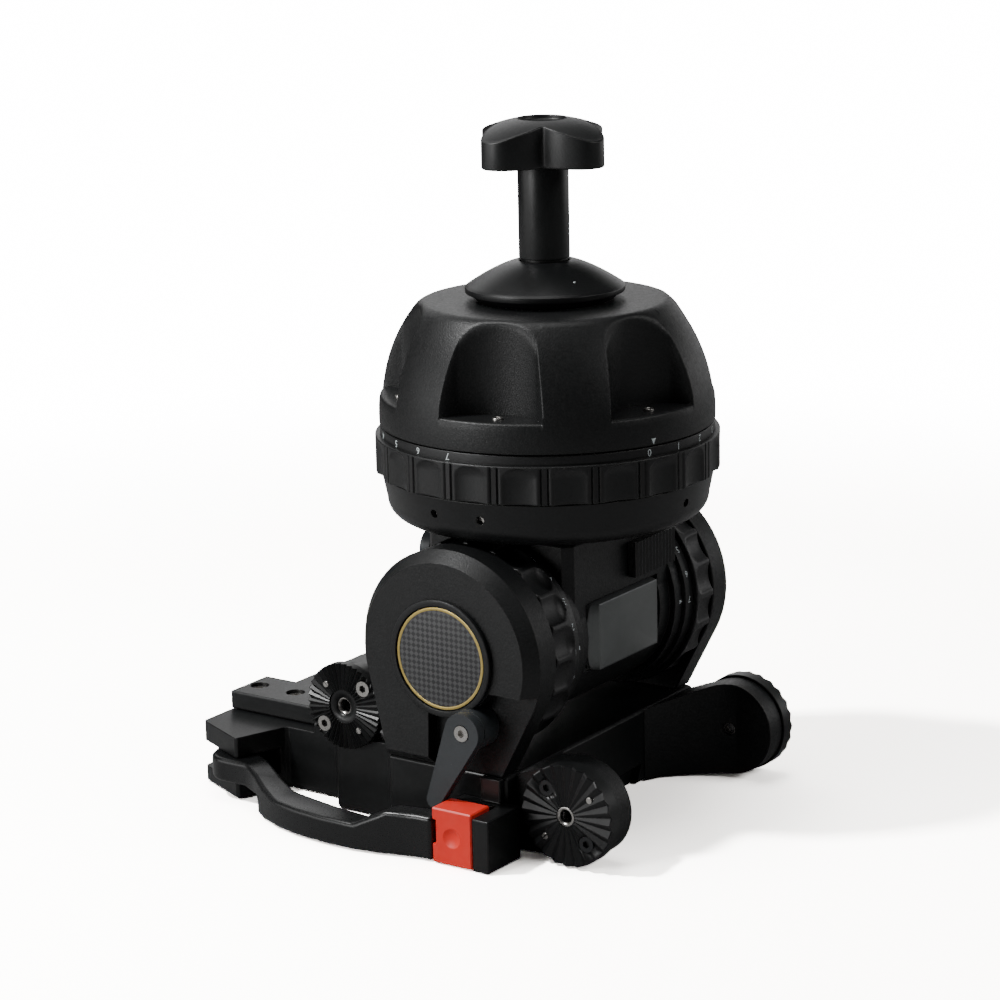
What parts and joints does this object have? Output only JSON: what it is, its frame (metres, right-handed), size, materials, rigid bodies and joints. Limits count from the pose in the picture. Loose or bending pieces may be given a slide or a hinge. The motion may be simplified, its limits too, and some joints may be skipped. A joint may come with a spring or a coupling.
{
  "type": "fluid video head",
  "caption": "Black fluid video head with a 150 mm half ball, pan and tilt drag rings, sliding camera plate, red-latched release lever and pan bar rosettes, standing upside down.",
  "frame": {"origin": "where the pan axis at rest meets the flat face of the camera plate, which is the face the head stands on upside down", "axes": "+Z along the pan axis from the camera plate towards the tie-down knob, +X along the tilt axis away from the arm with the badge, +Y along the camera platform towards its tail"},
  "size_m": [0.1971, 0.2288, 0.3104],
  "materials": {
    "black_anodised": "black anodised aluminium, satin",
    "black_paint": "fine-textured black powder coat over cast aluminium",
    "black_plastic": "black moulded plastic, satin",
    "grey_lever": "dark grey coated metal",
    "grey_pad": "dark grey satin plate",
    "red_anodised": "bright red anodised aluminium",
    "badge_face": "glossy woven-pattern disc with a plain gold line near its rim",
    "steel": "bright machined steel",
    "friction_disc": "filled polymer drag plates",
    "spring_steel": "spring steel"
  },
  "bodies": {
    "platform": {"platform_deck": "black_anodised", "lever_pin": "steel", "latch_housing": "black_anodised", "tail_block": "black_anodised", "tail_block_screw_1": "steel", "tail_block_screw_2": "steel", "near_arm": "black_paint", "far_arm": "black_paint", "near_badge": "badge_face", "tilt_shaft": "steel", "front_bracket_near": "black_paint", "front_bracket_far": "black_paint", "rear_bracket_near": "black_anodised", "rear_bracket_far": "black_anodised", "front_rosette_near": "black_anodised", "front_rosette_near_screw_1": "steel", "front_rosette_near_screw_2": "steel", "front_rosette_far": "black_anodised", "front_rosette_far_screw_1": "steel", "front_rosette_far_screw_2": "steel", "rear_rosette_near": "black_anodised", "rear_rosette_near_screw_1": "steel", "rear_rosette_near_screw_2": "steel", "rear_rosette_far": "black_anodised", "rear_rosette_far_screw_1": "steel", "rear_rosette_far_screw_2": "steel"},
    "camera_plate": {"camera_plate": "black_anodised", "camera_screw_front": "steel", "camera_screw_rear": "steel"},
    "clamp_jaw": {"clamp_jaw": "steel"},
    "release_lever": {"release_lever": "black_paint"},
    "release_latch": {"release_latch": "red_anodised", "latch_stem": "steel"},
    "tilt_lock": {"tilt_lock_lever": "grey_lever", "tilt_lock_screw": "steel"},
    "tilt_head": {"tilt_housing": "black_paint", "housing_pad": "grey_pad", "ribbed_cover": "black_plastic", "near_tilt_bearing": "steel", "far_tilt_bearing": "steel", "near_ring_hub": "black_plastic", "far_ring_hub": "black_plastic", "tilt_drag_discs": "friction_disc", "counterbalance_springs": "spring_steel", "pan_base": "black_anodised", "base_set_screw_1": "steel", "base_set_screw_2": "steel", "base_set_screw_3": "steel", "pan_shaft": "steel"},
    "near_ring": {"near_tilt_ring": "black_plastic"},
    "far_ring": {"far_tilt_ring": "black_plastic"},
    "pan_lock": {"pan_lock_lever": "grey_lever"},
    "ball": {"half_ball": "black_paint", "pan_bearing": "steel", "pan_drag_discs": "friction_disc", "tie_down_stud": "steel"},
    "pan_ring": {"pan_drag_ring": "black_plastic"},
    "clamp_cap": {"clamp_cap": "black_anodised"},
    "tie_down": {"tie_down_sleeve": "black_anodised", "tie_down_knob": "black_plastic"}
  },
  "joints": [
    {"name": "plate_slide", "type": "slide", "parent": "platform", "child": "camera_plate", "axis": [0, 1, 0], "range_m": [-0.03, 0.03]},
    {"name": "jaw_slide", "type": "slide", "parent": "platform", "child": "clamp_jaw", "axis": [-1, 0, 0], "range_m": [0, 0.0012]},
    {"name": "lever_swing", "type": "hinge", "parent": "platform", "child": "release_lever", "pos_m": [-0.076, 0.1235, 0.0143], "axis": [0, 0, 1], "range_deg": [-45, 0]},
    {"name": "latch_press", "type": "slide", "parent": "platform", "child": "release_latch", "axis": [1, 0, 0], "range_m": [0, 0.003], "stiffness_N_per_m": 400},
    {"name": "lock_turn", "type": "hinge", "parent": "platform", "child": "tilt_lock", "pos_m": [-0.0781, -0.0158, 0.0578], "axis": [1, 0, 0], "range_deg": [0, 70]},
    {"name": "tilt", "type": "hinge", "parent": "platform", "child": "tilt_head", "pos_m": [0, 0, 0.0868], "axis": [1, 0, 0], "range_deg": [-60, 75]},
    {"name": "near_ring_turn", "type": "hinge", "parent": "tilt_head", "child": "near_ring", "pos_m": [-0.055, 0, 0.0868], "axis": [1, 0, 0], "range_deg": [-15, 90]},
    {"name": "far_ring_turn", "type": "hinge", "parent": "tilt_head", "child": "far_ring", "pos_m": [0.055, 0, 0.0868], "axis": [1, 0, 0], "range_deg": [0, 105]},
    {"name": "pan_lock_turn", "type": "hinge", "parent": "tilt_head", "child": "pan_lock", "pos_m": [-0.02125, 0.0388, 0.11568], "axis": [0, 1, 0], "range_deg": [0, 60]},
    {"name": "pan", "type": "hinge", "parent": "tilt_head", "child": "ball", "pos_m": [0, 0, 0.1765], "axis": [0, 0, 1], "continuous": true},
    {"name": "pan_ring_turn", "type": "hinge", "parent": "ball", "child": "pan_ring", "pos_m": [0, 0, 0.1656], "axis": [0, 0, 1], "range_deg": [-93.8, 0]},
    {"name": "cap_slide", "type": "slide", "parent": "ball", "child": "clamp_cap", "axis": [0, 0, 1], "range_m": [0, 0.012]},
    {"name": "knob_turn", "type": "hinge", "parent": "clamp_cap", "child": "tie_down", "pos_m": [0, 0, 0.249], "axis": [0, 0, 1], "range_deg": [0, 2160]}
  ],
  "couplings": [
    {"joint": "jaw_slide", "follows": "lever_swing", "m_per_rad": -0.001528},
    {"joint": "cap_slide", "follows": "knob_turn", "m_per_rad": 0.00031831}
  ]
}
